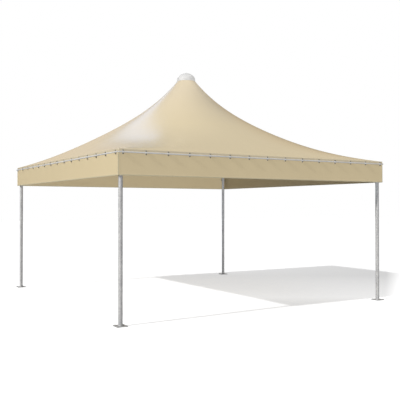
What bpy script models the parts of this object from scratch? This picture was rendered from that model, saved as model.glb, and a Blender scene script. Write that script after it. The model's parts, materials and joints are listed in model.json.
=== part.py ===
# Square gazebo tent, 5 m by 5 m: four round posts, a box eave frame, a peaked membrane roof
# of eight gores on a king post that hangs on crossed stays, and a straight valance all round.
# Metres, +Z up. The origin is on the ground, under the peak.
# The front side faces -Y and the right side faces +X.

import math

import bmesh
import bpy
from mathutils import Matrix, Vector

# Driving dimensions
SIDE = 5.0  # between the outer faces of opposite valances
EAVE_HEIGHT = 2.40  # top of the fold along the eave
VALANCE_BOTTOM = 2.04
NECK_HEIGHT = 3.995  # top edge of the membrane, under the cap
NECK_RADIUS = 0.153
CAP_HEIGHT = 0.145
CAP_RADIUS = 0.1775
POST_DIAMETER = 0.060
POST_INSET = 0.065  # from the valance's face to the post's axis
PLATE_SIDE = 0.160
PLATE_THICKNESS = 0.010
GAP = 0.0003  # between pieces that touch

# The membrane
FABRIC = 0.0035  # thickness of a valance
ROOF_DROP = 0.005  # from the roof's top face straight down to its under face
NECK_SHARE = 0.21  # how much of the fall belongs to the steep neck
NECK_POWER = 4.0
HIP_SHARPNESS = 0.34  # how fast the round neck turns into the square eave
ROOF_ROWS = 14
ROOF_COLUMNS = 8  # of half a side
HIP_CLEARANCE = 0.00022  # along the eave, from the end of each gore to the hip

# The eave frame
BEAM_WIDTH = 0.060
BEAM_HEIGHT = 0.080
STAY_FACE = 0.050  # leg of the chamfer that a stay pulls on, at a corner socket

# The clamping tubes
TUBE_RADIUS = 0.010
TUBE_BELOW_EAVE = 0.043
CLAMPS = 15
CLAMP_SPAN = 4.86  # between the first and the last clamp of a side
CLAMP_WIDTH = 0.024
CLAMP_REACH = 0.030  # above and below the tube's axis
CLAMP_BACK = 0.0008  # from the membrane's face, as are the next three
CLAMP_PROUD = 0.0235  # the saddle's front
KNOB_PROUD = 0.016
EAR_PROUD = 0.005
SADDLE_REACH = 0.006  # the saddle's flat front, above and below the tube's axis
KNOB_TOP = 0.012  # below the tube's axis
EAR_FOOT = 0.016  # above the tube's axis

# The king post and what holds it up
KING_POST_DIAMETER = 0.060
FOOT_SIDE = 0.090
FOOT_HEIGHT = 0.060
FOOT_BOTTOM = 2.195
HUB_RADIUS = 0.040
HUB_HEIGHT = 0.060
CROWN_THICKNESS = 0.008
CROWN_RIM_HEIGHT = 0.040
CROWN_RIM_THICKNESS = 0.008
CROWN_CLEARANCE = 0.0005  # between the plate's rim and the neck
CROWN_ABOVE_NECK = 0.0017
STAY_DIAMETER = 0.012
STAY_TOP = 2.350

# The cap
CAP_PLEATS = 14
PLEAT_DEPTH = 0.035  # share of the radius
PLEAT_TWIST = 0.9  # radians from rim to top
CAP_ROUNDNESS = 1.5  # 2 is an ellipse, 1 a cone
CAP_ROWS = 7
BUTTON_RADIUS = 0.014
BUTTON_HEIGHT = 0.009

HALF = SIDE / 2
POST_AXIS = HALF - POST_INSET
FRAME_FACE = HALF - FABRIC - GAP
FRAME_TOP = EAVE_HEIGHT - ROOF_DROP - GAP
FRAME_BOTTOM = FRAME_TOP - BEAM_HEIGHT
SOCKET_HALF = FRAME_FACE - POST_AXIS
CROWN_TOP = NECK_HEIGHT + CROWN_ABOVE_NECK
CAP_BASE = CROWN_TOP + GAP
STEEL_COLOR = (0.58, 0.58, 0.58)
CREAM = (0.74, 0.64, 0.46)

# Each side, turned about the middle of the tent, with the corner at its left-hand end
SIDES = (("front", "front_left"), ("right", "front_right"), ("back", "back_right"), ("left", "back_left"))


def clear_scene():
    for old in list(bpy.data.objects):
        bpy.data.objects.remove(old, do_unlink=True)


def make_material(name, color, roughness, metallic):
    material = bpy.data.materials.new(name)
    material.use_nodes = True
    shader = material.node_tree.nodes["Principled BSDF"]
    shader.inputs["Base Color"].default_value = (*color, 1)
    shader.inputs["Roughness"].default_value = roughness
    shader.inputs["Metallic"].default_value = metallic
    return material


def finish_mesh(name, bm, smooth_angle=None):
    bmesh.ops.recalc_face_normals(bm, faces=bm.faces)
    mesh = bpy.data.meshes.new(name)
    bm.to_mesh(mesh)
    bm.free()
    if smooth_angle:
        mesh.shade_smooth()
        mesh.set_sharp_from_angle(angle=math.radians(smooth_angle))
    return mesh


def place(name, mesh, material, parent, location=(0, 0, 0), rotation=(0, 0, 0)):
    piece = bpy.data.objects.new(name, mesh.copy())
    piece.data.materials.append(material)
    piece.location = location
    piece.rotation_euler = rotation
    piece.parent = parent
    bpy.context.scene.collection.objects.link(piece)
    return piece


def box_mesh(name, low, high):
    bm = bmesh.new()
    size = Vector(high) - Vector(low)
    middle = (Vector(high) + Vector(low)) / 2
    bmesh.ops.create_cube(bm, size=1, matrix=Matrix.Translation(middle) @ Matrix.Diagonal((*size, 1)))
    return finish_mesh(name, bm)


def rod_mesh(name, radius, length, segments):
    """A rod that stands on the origin along +Z."""
    bm = bmesh.new()
    bmesh.ops.create_cone(bm, cap_ends=True, segments=segments, radius1=radius, radius2=radius,
                          depth=length, matrix=Matrix.Translation((0, 0, length / 2)))
    return finish_mesh(name, bm, smooth_angle=40)


def sweep(bm, face, run):
    """Draws a face out into a solid."""
    drawn = bmesh.ops.extrude_face_region(bm, geom=[face])["geom"]
    bmesh.ops.translate(bm, vec=run, verts=[v for v in drawn if isinstance(v, bmesh.types.BMVert)])


def prism_mesh(name, outline, low, high):
    """An outline in X and Y, raised from low to high."""
    bm = bmesh.new()
    base = bm.faces.new([bm.verts.new((x, y, low)) for x, y in outline])
    sweep(bm, base, (0, 0, high - low))
    return finish_mesh(name, bm)


def turned_mesh(name, profile, segments):
    """A profile of (radius, height) points that starts and ends on the axis, spun round Z."""
    bm = bmesh.new()
    chain = [bm.verts.new((radius, 0, height)) for radius, height in profile]
    edges = [bm.edges.new(pair) for pair in zip(chain, chain[1:])]
    bmesh.ops.spin(bm, geom=chain + edges, cent=(0, 0, 0), axis=(0, 0, 1), angle=math.tau, steps=segments)
    bmesh.ops.remove_doubles(bm, verts=bm.verts, dist=1e-5)
    return finish_mesh(name, bm, smooth_angle=40)


def eased(share):
    """From 0 to 1, with small steps at both ends."""
    return share * share * (3 - 2 * share)


def roof_point(fall, angle):
    """A point of the roof's top face. fall runs from 0 at the neck to 1 at the eave, and angle is from the
    middle of the front side. The level lines are superellipses: round at the neck, square at the eave."""
    across, ahead = math.sin(angle), math.cos(angle)
    reach = NECK_RADIUS + fall * (HALF - NECK_RADIUS)
    larger = max(abs(across), ahead)
    radius = reach / larger
    if fall < 1:
        power = 2 + HIP_SHARPNESS * fall / (1 - fall)
        radius /= ((abs(across) / larger) ** power + (ahead / larger) ** power) ** (1 / power)
    left = 1 - fall
    height = left * (1 - NECK_SHARE + NECK_SHARE * left**NECK_POWER)
    return Vector((radius * across, -radius * ahead, EAVE_HEIGHT + (NECK_HEIGHT - EAVE_HEIGHT) * height))


def roof_gore_mesh(hand):
    """Half of one side's roof, from the side's middle seam to a hip, as a thin closed shell. hand is -1 for
    the left half, seen from outside, and 1 for the right half."""
    bm = bmesh.new()
    faces = []
    for drop in (0, ROOF_DROP):
        rows = []
        for row in range(ROOF_ROWS + 1):
            points = []
            for column in range(ROOF_COLUMNS + 1):
                angle = hand * math.pi / 4 * column / ROOF_COLUMNS
                point = roof_point(eased(row / ROOF_ROWS), angle)
                if column == 0:
                    point.x = hand * GAP / 2
                if column == ROOF_COLUMNS:
                    point.x -= hand * HIP_CLEARANCE
                points.append(bm.verts.new(point - Vector((0, 0, drop))))
            rows.append(points)
        faces.append(rows)
    top, under = faces
    for row in range(ROOF_ROWS):
        for column in range(ROOF_COLUMNS):
            for sheet in faces:
                bm.faces.new((sheet[row][column], sheet[row][column + 1],
                              sheet[row + 1][column + 1], sheet[row + 1][column]))
        for column in (0, ROOF_COLUMNS):
            bm.faces.new((top[row][column], top[row + 1][column],
                          under[row + 1][column], under[row][column]))
    for row in (0, ROOF_ROWS):
        for column in range(ROOF_COLUMNS):
            bm.faces.new((top[row][column], top[row][column + 1],
                          under[row][column + 1], under[row][column]))
    return finish_mesh("roof_gore", bm, smooth_angle=40)


def valance_mesh():
    """A straight drop of fabric. Its right-hand end stops behind the next side's valance."""
    top = EAVE_HEIGHT - ROOF_DROP - GAP
    return box_mesh("valance", (-HALF, -HALF, VALANCE_BOTTOM), (HALF - FABRIC - GAP, -HALF + FABRIC, top))


def beam_mesh():
    end = POST_AXIS - SOCKET_HALF - GAP
    low = (-end, -FRAME_FACE, FRAME_BOTTOM)
    high = (end, -FRAME_FACE + BEAM_WIDTH, FRAME_TOP)
    return box_mesh("eave_beam", low, high)


def socket_mesh():
    """The corner box on a post head, with a chamfer towards the middle of the tent for the stay."""
    outer = -FRAME_FACE
    inner = -FRAME_FACE + 2 * SOCKET_HALF
    outline = [(outer, outer), (inner, outer), (inner, inner - STAY_FACE),
               (inner - STAY_FACE, inner), (outer, inner)]
    return prism_mesh("corner_socket", outline, FRAME_BOTTOM, FRAME_TOP)


def clamp_row_mesh():
    """Fifteen clamp blocks in a row. Each is its outline seen from the end, swept along the tube: a flat
    ear above, a saddle over the tube and a thicker knob below."""
    face = -HALF
    axis = EAVE_HEIGHT - TUBE_BELOW_EAVE
    outline = [(CLAMP_BACK, -CLAMP_REACH), (KNOB_PROUD, -CLAMP_REACH), (KNOB_PROUD, -KNOB_TOP),
               (CLAMP_PROUD, -SADDLE_REACH), (CLAMP_PROUD, SADDLE_REACH), (EAR_PROUD, EAR_FOOT),
               (EAR_PROUD, CLAMP_REACH), (CLAMP_BACK, CLAMP_REACH)]
    bm = bmesh.new()
    for clamp in range(CLAMPS):
        start = CLAMP_SPAN * (clamp / (CLAMPS - 1) - 0.5) - CLAMP_WIDTH / 2
        end_face = bm.faces.new([bm.verts.new((start, face - proud, axis + up)) for proud, up in outline])
        sweep(bm, end_face, (CLAMP_WIDTH, 0, 0))
    return finish_mesh("clamp_row", bm)


def crown_plate_mesh():
    """A round plate with a turned-down rim that spreads the neck, on a hub."""
    rim = NECK_RADIUS - CROWN_CLEARANCE
    under = CROWN_TOP - CROWN_THICKNESS
    rim_foot = CROWN_TOP - CROWN_RIM_HEIGHT
    rim_inside = rim - CROWN_RIM_THICKNESS
    hub_foot = CROWN_TOP - HUB_HEIGHT
    profile = [(0, CROWN_TOP), (rim, CROWN_TOP), (rim, rim_foot), (rim_inside, rim_foot),
               (rim_inside, under), (HUB_RADIUS, under), (HUB_RADIUS, hub_foot), (0, hub_foot)]
    return turned_mesh("crown_plate", profile, 32)


def crown_cap_mesh():
    """A low pleated dome with a button on top. The pleats lean as they climb."""
    bm = bmesh.new()
    segments = CAP_PLEATS * 4
    dome = CAP_HEIGHT - BUTTON_HEIGHT
    last = math.acos((BUTTON_RADIUS / CAP_RADIUS) ** (CAP_ROUNDNESS / 2))
    rings = []
    for row in range(CAP_ROWS + 1):
        climb = last * row / CAP_ROWS
        radius = CAP_RADIUS / (1 + PLEAT_DEPTH) * math.cos(climb) ** (2 / CAP_ROUNDNESS)
        height = CAP_BASE + dome * math.sin(climb) ** (2 / CAP_ROUNDNESS)
        lean = PLEAT_TWIST * row / CAP_ROWS
        fade = 1 - (row / CAP_ROWS) ** 3
        ring = []
        for step in range(segments):
            turn = math.tau * step / segments
            pleat = 1 + PLEAT_DEPTH * fade * math.cos(CAP_PLEATS * (turn - lean))
            reach = radius * pleat
            ring.append(bm.verts.new((reach * math.cos(turn), reach * math.sin(turn), height)))
        rings.append(ring)
    rings.append([bm.verts.new((v.co.x, v.co.y, CAP_BASE + CAP_HEIGHT)) for v in rings[-1]])
    for lower, upper in zip(rings, rings[1:]):
        for step in range(segments):
            following = (step + 1) % segments
            bm.faces.new((lower[step], lower[following], upper[following], upper[step]))
    bm.faces.new(rings[0][::-1])
    bm.faces.new(rings[-1])
    return finish_mesh("crown_cap", bm, smooth_angle=50)


def add_clamping_tube(side, tube_mesh, clamps_mesh, material, parent):
    """The tube lies along X in front of the valance, and the clamps are joined to it."""
    height = EAVE_HEIGHT - TUBE_BELOW_EAVE
    tube = place(side + "_clamping_tube", tube_mesh, material, parent,
                 location=(-HALF, -HALF - GAP - TUBE_RADIUS, height), rotation=(0, math.pi / 2, 0))
    clamps = place(side + "_clamp_row", clamps_mesh, material, parent)
    clamps.hide_render = True
    clamps.display_type = "WIRE"
    join = tube.modifiers.new("join clamps", "BOOLEAN")
    join.operation = "UNION"
    join.solver = "EXACT"
    join.object = clamps


def add_stay(name, material, parent):
    """A taut stay from the king post's foot to the left-hand corner socket, along the diagonal."""
    corner = POST_AXIS - SOCKET_HALF + STAY_FACE / 2
    start = Vector((FOOT_SIDE / 2 + 2 * GAP, 0, FOOT_BOTTOM + FOOT_HEIGHT / 2))
    end = Vector((corner * math.sqrt(2) - 2 * GAP, 0, STAY_TOP))
    run = end - start
    to_corner = Matrix.Rotation(math.radians(-135), 3, "Z")
    turn = (to_corner @ run).to_track_quat("Z", "Y").to_euler()
    mesh = rod_mesh("stay", STAY_DIAMETER / 2, run.length, 8)
    place(name, mesh, material, parent, location=to_corner @ start, rotation=turn)


def add_empty(name, angle, parent=None):
    empty = bpy.data.objects.new(name, None)
    empty.rotation_euler = (0, 0, angle)
    empty.parent = parent
    bpy.context.scene.collection.objects.link(empty)
    return empty


def build():
    clear_scene()
    galvanised = make_material("galvanised_steel", STEEL_COLOR, 0.42, 1.0)
    plate_steel = make_material("base_plate_steel", STEEL_COLOR, 0.5, 1.0)
    socket_steel = make_material("corner_socket_steel", (0.54, 0.54, 0.55), 0.45, 1.0)
    beam_alloy = make_material("eave_beam_aluminium", (0.72, 0.72, 0.73), 0.35, 1.0)
    tube_steel = make_material("clamping_tube_steel", (0.68, 0.68, 0.69), 0.35, 1.0)
    stay_steel = make_material("stay_steel", (0.5, 0.5, 0.51), 0.4, 1.0)
    roof_cloth = make_material("roof_membrane", CREAM, 0.38, 0.0)
    valance_cloth = make_material("valance_membrane", CREAM, 0.42, 0.0)
    cap_cloth = make_material("cap_white", (0.86, 0.86, 0.85), 0.45, 0.0)

    post_bottom = PLATE_THICKNESS + GAP
    post_mesh = rod_mesh("post", POST_DIAMETER / 2, FRAME_BOTTOM - GAP - post_bottom, 24)
    plate_half = PLATE_SIDE / 2
    plate_mesh = box_mesh("base_plate", (-plate_half, -plate_half, 0),
                          (plate_half, plate_half, PLATE_THICKNESS))
    corner_socket = socket_mesh()
    eave_beam = beam_mesh()
    gores = {"left": roof_gore_mesh(-1), "right": roof_gore_mesh(1)}
    valance = valance_mesh()
    tube_mesh = rod_mesh("clamping_tube", TUBE_RADIUS, SIDE, 12)
    clamps_mesh = clamp_row_mesh()

    tent = add_empty("gazebo_tent", 0)
    for quarter, (side, corner) in enumerate(SIDES):
        turned = add_empty(side + "_side", quarter * math.pi / 2, tent)
        corner_at = (-POST_AXIS, -POST_AXIS)
        place(corner + "_base_plate", plate_mesh, plate_steel, turned, location=(*corner_at, 0))
        place(corner + "_post", post_mesh, galvanised, turned, location=(*corner_at, post_bottom))
        place(corner + "_corner_socket", corner_socket, socket_steel, turned)
        place(side + "_eave_beam", eave_beam, beam_alloy, turned)
        for half, gore in gores.items():
            place(side + "_roof_gore_" + half, gore, roof_cloth, turned)
        place(side + "_valance", valance, valance_cloth, turned)
        add_clamping_tube(side, tube_mesh, clamps_mesh, tube_steel, turned)
        add_stay(corner + "_stay", stay_steel, turned)

    foot_half = FOOT_SIDE / 2
    foot_mesh = box_mesh("king_post_foot", (-foot_half, -foot_half, 0), (foot_half, foot_half, FOOT_HEIGHT))
    place("king_post_foot", foot_mesh, socket_steel, tent, location=(0, 0, FOOT_BOTTOM),
          rotation=(0, 0, math.pi / 4))
    king_bottom = FOOT_BOTTOM + FOOT_HEIGHT + GAP
    king_top = CROWN_TOP - HUB_HEIGHT - GAP
    king_mesh = rod_mesh("king_post", KING_POST_DIAMETER / 2, king_top - king_bottom, 24)
    place("king_post", king_mesh, galvanised, tent, location=(0, 0, king_bottom))
    place("crown_plate", crown_plate_mesh(), socket_steel, tent)
    place("crown_cap", crown_cap_mesh(), cap_cloth, tent)


build()
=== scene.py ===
import json
import math

import bmesh
import bpy
import numpy as np
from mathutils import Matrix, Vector

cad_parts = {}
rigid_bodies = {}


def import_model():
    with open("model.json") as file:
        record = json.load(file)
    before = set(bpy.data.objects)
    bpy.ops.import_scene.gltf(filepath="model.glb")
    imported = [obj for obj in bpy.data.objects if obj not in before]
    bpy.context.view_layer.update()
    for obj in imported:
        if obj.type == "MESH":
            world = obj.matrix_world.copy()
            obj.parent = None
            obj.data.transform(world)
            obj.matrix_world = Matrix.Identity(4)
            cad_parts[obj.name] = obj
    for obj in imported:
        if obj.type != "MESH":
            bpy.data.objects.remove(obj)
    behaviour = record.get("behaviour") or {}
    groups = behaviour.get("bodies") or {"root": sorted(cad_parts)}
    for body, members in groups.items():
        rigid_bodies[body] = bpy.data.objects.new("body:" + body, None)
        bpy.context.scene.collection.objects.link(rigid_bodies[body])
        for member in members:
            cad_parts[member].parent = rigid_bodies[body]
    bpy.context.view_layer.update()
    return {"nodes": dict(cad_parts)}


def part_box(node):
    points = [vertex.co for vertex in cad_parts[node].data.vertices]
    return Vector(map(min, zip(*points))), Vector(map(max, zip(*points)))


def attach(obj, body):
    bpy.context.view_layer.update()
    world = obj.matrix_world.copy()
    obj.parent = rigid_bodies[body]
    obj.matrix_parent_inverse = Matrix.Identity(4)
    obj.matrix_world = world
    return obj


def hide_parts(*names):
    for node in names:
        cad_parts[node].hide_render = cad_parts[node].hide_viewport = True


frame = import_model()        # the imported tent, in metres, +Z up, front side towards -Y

print("frame loaded:", len(frame["nodes"]), "nodes")

sides = ("front", "right", "back", "left")  # each a quarter turn on from the one before
corners = ("front_left", "front_right", "back_right", "back_left")  # at each side's left-hand end

# Sizes that several pieces share, read from the frame
half = -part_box("front_valance")[0].y  # from the middle to a valance's outer face
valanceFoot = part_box("front_valance")[0].z
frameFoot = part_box("front_eave_beam")[0].z
postLow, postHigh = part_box("front_left_post")
socketLow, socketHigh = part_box("front_left_corner_socket")
postAxis = -(postLow.x + postHigh.x) / 2
postRadius = (postHigh.x - postLow.x) / 2
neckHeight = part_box("front_roof_gore_left")[1].z
neckRadius = 0.153
eaveHeight = 2.400
tubeAxis = 2.357
tubeRadius = 0.010
tubeStandoff = 0.0003  # from the valance to the clamping tube

xAxis, yAxis, zAxis = np.eye(3)
softEdge = 0.0008  # bevel of the small forged and plate pieces
pipeRim = 0.001


# Small tools for arrays of points

# the points of one side, turned about Z by so many quarter turns
def quarterTurned(points, quarter):
    turn = quarter * math.pi / 2
    matrix = np.array([[math.cos(turn), -math.sin(turn), 0], [math.sin(turn), math.cos(turn), 0], [0, 0, 1]])
    return points @ matrix.T


# a frame of three unit vectors whose last one is the given direction
def axesAlong(direction):
    along = np.asarray(direction, float) / np.linalg.norm(direction)
    across = np.cross(zAxis if abs(along[2]) < 0.9 else xAxis, along)
    across /= np.linalg.norm(across)
    return np.stack([across, np.cross(along, across), along])


# points at a radius and an angle about an axis, so far along it
def polar(radius, turn, along):
    along = np.broadcast_to(along, radius.shape)
    return np.stack([radius * np.cos(turn), radius * np.sin(turn), along], axis=-1)


# smooth step from 0 to 1
def eased(share):
    share = np.clip(share, 0, 1)
    return share * share * (3 - 2 * share)


# the middle of a node's box, and half its size
def boxMiddle(name):
    low, high = (np.array(corner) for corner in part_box(name))
    return (low + high) / 2, (high - low) / 2


# a point beside the near post's axis
def atPost(height, across=0.0, ahead=0.0):
    return np.array([-postAxis + across, -postAxis + ahead, height])


# rings of points, one after another, joined by quads; one face closes each end
def ringShell(rings, closeEnds=True, closeLoop=False):
    count, around = rings.shape[:2]
    start = np.arange(count if closeLoop else count - 1)[:, None]
    here, after = start * around, (start + 1) % count * around
    column = np.arange(around)
    following = (column + 1) % around
    quads = np.stack([here + column, here + following, after + following, after + column], axis=-1)
    faces = quads.reshape(-1, 4).tolist()
    if closeEnds and not closeLoop:
        faces.append(list(range(around))[::-1])
        faces.append(list(range((count - 1) * around, count * around)))
    return rings.reshape(-1, 3), faces


# a grid that isn't joined round: quads between neighbours
def openGrid(grid):
    rows, columns = grid.shape[:2]
    row, column = np.meshgrid(np.arange(rows - 1), np.arange(columns - 1), indexing="ij")
    first = row * columns + column
    quads = np.stack([first, first + columns, first + columns + 1, first + 1], axis=-1).reshape(-1, 4)
    return grid.reshape(-1, 3), quads


# several (points, faces) in one, with the faces' numbers moved on
def joined(parts):
    points, faces, offset = [], [], 0
    for partPoints, partFaces in parts:
        points.append(partPoints)
        faces += [[number + offset for number in face] for face in partFaces]
        offset += len(partPoints)
    return np.concatenate(points), faces


# a profile of (distance along, radius) turned about an axis; the radius swells and sinks by a share of
# itself, so many times round
def turnedShell(profile, origin, axis=zAxis, segments=32, closeLoop=False, ripple=0.0, ripples=0):
    profile = np.asarray(profile, float)
    turn = np.arange(segments) * math.tau / segments
    radius = profile[:, 1, None] * (1 + ripple * np.cos(ripples * turn))
    local = polar(radius, turn, profile[:, 0, None])
    return ringShell(np.asarray(origin, float) + local @ axesAlong(axis), closeLoop=closeLoop)


# a closed outline in the plane of two axes, drawn along the third, with its ends drawn in by the bevel
def drawnShell(outline, origin, axes, low, high, bevel=0.0):
    outline = np.asarray(outline, float)
    middle = outline.mean(axis=0)
    shrunk = middle + (outline - middle) * (1 - bevel / np.abs(outline - middle).max())
    stations = [(low, shrunk), (low + bevel, outline), (high - bevel, outline), (high, shrunk)]
    if bevel == 0:
        stations = [(low, outline), (high, outline)]
    rings = [np.column_stack([ring, np.full(len(ring), depth)]) for depth, ring in stations]
    return ringShell(np.asarray(origin, float) + np.stack(rings) @ np.asarray(axes, float))


# quarter circles at the four corners of a rectangle, one after another
def cornerArcs(halfWidth, halfDepth, radius):
    arcs = []
    for number, (signX, signY) in enumerate(((1, 1), (-1, 1), (-1, -1), (1, -1))):
        angle = np.linspace(0, math.pi / 2, 5) + number * math.pi / 2
        arcs.append(np.column_stack([signX * (halfWidth - radius) + radius * np.cos(angle),
                                     signY * (halfDepth - radius) + radius * np.sin(angle)]))
    return arcs


# each corner of a polygon becomes a curve between points that lie a radius before and after it
def roundedPolygon(plan, radius):
    plan = np.asarray(plan, float)
    before, after = np.roll(plan, 1, axis=0), np.roll(plan, -1, axis=0)
    start = plan + radius * (before - plan) / np.linalg.norm(before - plan, axis=1, keepdims=True)
    end = plan + radius * (after - plan) / np.linalg.norm(after - plan, axis=1, keepdims=True)
    t = np.linspace(0, 1, 5)[None, :, None]
    curve = (1 - t) ** 2 * start[:, None] + 2 * t * (1 - t) * plan[:, None] + t ** 2 * end[:, None]
    return curve.reshape(-1, 2)


# a block with rounded corners in plan and bevelled edges top and bottom
def roundedBlock(middle, halfSize, radius, bevel=softEdge, axes=np.eye(3)):
    outline = np.concatenate(cornerArcs(halfSize[0], halfSize[1], radius))
    return drawnShell(outline, middle, axes, -halfSize[2], halfSize[2], bevel)


def hexagon(acrossFlats):
    angle = np.arange(6) * math.pi / 3
    return acrossFlats / math.sqrt(3) * np.column_stack([np.cos(angle), np.sin(angle)])


# sizes of a bolt as shares of the width across its flats
boltShape = {
    "washerHeight": 0.15, "washerEdge": 0.105, "washerRadius": 0.72, "washerTop": 0.68, "headBevel": 0.06,
    "threadRadius": 0.28, "threadTip": 0.22,
}


# a washer, a six-sided head, whose height is a share of its width, and the end of its thread
def hexBolt(foot, direction, acrossFlats, thread=0.0, headShare=0.6):
    size = {key: share * acrossFlats for key, share in boltShape.items()}
    washer, rim = size["washerHeight"], size["washerRadius"]
    top = washer + headShare * acrossFlats
    profile = [(0, rim), (size["washerEdge"], rim), (washer, size["washerTop"])]
    parts = [turnedShell(profile, foot, direction, 24),
             drawnShell(hexagon(acrossFlats), foot, axesAlong(direction), washer, top, size["headBevel"])]
    if thread:
        start, end, r = washer + (top - washer) * 0.9, top + thread, size["threadRadius"]
        tip = [(start, r), (end - 0.0015, r), (end, size["threadTip"])]
        parts.append(turnedShell(tip, foot, direction, 16))
    return parts


# an upright pipe with softened rims, in the box given by two corners
def pipeShell(low, high, centre=(0, 0, 0)):
    r = (high.x - low.x) / 2
    profile = [(low.z, r - pipeRim), (low.z + pipeRim, r), (high.z - pipeRim, r), (high.z, r - pipeRim)]
    return turnedShell(profile, centre, zAxis, 64)


weldShape = {"leg": 0.005, "ripple": 0.006, "ripples": 44, "root": 0.001}


# a rippled fillet of weld round a pipe that stands on a plate: a quarter bead turned about the pipe
def weldBead(origin, axis, radius, leg):
    quarter = np.linspace(0, math.pi / 2, 6)
    bead = [(leg * math.sin(a), radius + leg * math.cos(a)) for a in quarter]
    inside = radius - weldShape["root"]
    ripples = weldShape["ripples"]
    return turnedShell([(0, inside)] + bead + [(leg, inside)], origin, axis, 3 * ripples, closeLoop=True,
                       ripple=weldShape["ripple"], ripples=ripples)


# Tools for pieces

# data put in the scene as an object
def addObject(name, data):
    thing = bpy.data.objects.new(name, data)
    bpy.context.scene.collection.objects.link(thing)
    return thing


# points and faces made an object that rides on the tent's one body
def addPiece(name, shape, material, replaced, smoothAngle=35, closed=True, uv=None):
    points, faces = shape
    mesh = bpy.data.meshes.new(name)
    mesh.from_pydata(points.tolist(), [], faces)
    if closed:
        faceOutwards(mesh)
    mesh.shade_smooth()
    mesh.set_sharp_from_angle(angle=math.radians(smoothAngle))
    mesh.materials.append(material)
    if uv is not None:
        layer = mesh.uv_layers.new(name="cloth")
        layer.data.foreach_set("uv", uv.astype(np.float32).ravel())
    piece = addObject(name, mesh)
    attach(piece, "root")
    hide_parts(*replaced)
    return piece


# the same piece at all four sides or corners, each for the node of its place
def addFour(places, pieceName, parts, material, nodeName, smoothAngle=35):
    points, faces = joined(parts)
    return [addPiece(place + pieceName, (quarterTurned(points, number), faces), material,
                     [place + nodeName], smoothAngle) for number, place in enumerate(places)]


def faceOutwards(mesh):
    bm = bmesh.new()
    bm.from_mesh(mesh)
    bmesh.ops.recalc_face_normals(bm, faces=bm.faces)
    bm.to_mesh(mesh)
    bm.free()


# gives a sheet its thickness, inwards from the face that shows
def thicken(piece, thickness):
    solid = piece.modifiers.new("cloth thickness", "SOLIDIFY")
    solid.thickness = thickness
    solid.offset = -1.0
    solid.use_rim = True
    solid.use_even_offset = True


# Tools for materials, whose textures read the place on the piece or the cloth's own measure

# a node whose sockets are given by name or number, each a value or another node's output
def addNode(tree, kind, sockets, **settings):
    node = tree.nodes.new("ShaderNode" + kind)
    for setting, value in settings.items():
        setattr(node, setting, value)
    for socket, given in sockets.items():
        if isinstance(given, bpy.types.NodeSocket):
            tree.links.new(given, node.inputs[socket])
        else:
            node.inputs[socket].default_value = given
    return node


noiseRange = (0.3, 0.7)  # where most of a noise's values lie


# a cloudy texture; this tool and those below find their tree by the socket that they are given
def addNoise(source, scale, detail=3.0, stretch=(1, 1, 1)):
    tree = source.id_data
    mapping = addNode(tree, "Mapping", {"Vector": source, "Scale": stretch})
    sockets = {"Vector": mapping.outputs["Vector"], "Scale": scale, "Detail": detail}
    return addNode(tree, "TexNoise", sockets).outputs["Fac"]


# a value carried from one range to another, held at the ends
def addRange(source, low, high, newLow, newHigh):
    sockets = {"Value": source, "From Min": low, "From Max": high, "To Min": newLow, "To Max": newHigh}
    return addNode(source.id_data, "MapRange", sockets).outputs["Result"]


def addMath(operation, *terms):
    sockets = dict(enumerate(terms))
    return addNode(terms[0].id_data, "Math", sockets, operation=operation).outputs["Value"]


def addDot(source, direction):
    sockets = {0: source, 1: direction}
    return addNode(source.id_data, "VectorMath", sockets, operation="DOT_PRODUCT").outputs["Value"]


# a blend of two colours; the Mix node's colours are its inputs 6 and 7 and its output 2
def addColourMix(factor, low, high):
    low, high = ((*colour, 1) if isinstance(colour, tuple) else colour for colour in (low, high))
    return addNode(factor.id_data, "Mix", {0: factor, 6: low, 7: high}, data_type="RGBA").outputs[2]


def addBump(height, distance, strength=1.0, before=None):
    sockets = {"Height": height, "Distance": distance, "Strength": strength}
    if before is not None:
        sockets["Normal"] = before
    return addNode(height.id_data, "Bump", sockets).outputs["Normal"]


# the X, Y and Z of a vector
def addSplit(vector):
    return addNode(vector.id_data, "SeparateXYZ", {"Vector": vector}).outputs


# an empty material, its shader, and the place on the piece
def newMaterial(name, roughness, metallic=0.0):
    material = bpy.data.materials.new(name)
    material.use_nodes = True
    tree = material.node_tree
    shader = tree.nodes["Principled BSDF"]
    shader.inputs["Roughness"].default_value = roughness
    shader.inputs["Metallic"].default_value = metallic
    return material, shader, addNode(tree, "TexCoord", {}).outputs["Object"]


# links what was made to the shader's sockets
def linkShader(shader, sockets):
    for socket, source in sockets.items():
        source.id_data.links.new(source, shader.inputs[socket])


membraneLook = {
    "colour": (0.568, 0.472, 0.298),
    "paler": (0.576, 0.480, 0.305),
    "cloudScale": 0.8,
    "gloss": 0.23,  # roughness of the lacquer
    "glossSpread": 0.015,
    "streakScale": 6.0,
    "paintedNeckShade": (0.490, 0.416, 0.295),  # painted shade, darker towards the neck
    "paintedNeckShadeHeights": (3.0, 3.75),  # where that begins, and where it is full
    "paintedFoldShade": (0.505, 0.437, 0.310),  # painted shade on the roof's edge, from the fold down
    "paintedFoldShadeHeights": (2.3995, 2.4015),
    "threads": 1000.0,  # a metre, each way
    "weaveDepth": 0.000012,
    "slackScale": 2.2,  # slow unevenness of the stretched cloth
    "slackDepth": 0.002,
    "darkerEdge": (0.490, 0.435, 0.292),  # darker along a valance's free edges
    "darkerEdgeWidth": 0.014,
    "darkerEdgeFade": 0.001,
    "seamHalfWidth": 0.015,
    "seamFade": 0.002,
    "seamDepth": 0.0004,
}


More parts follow.
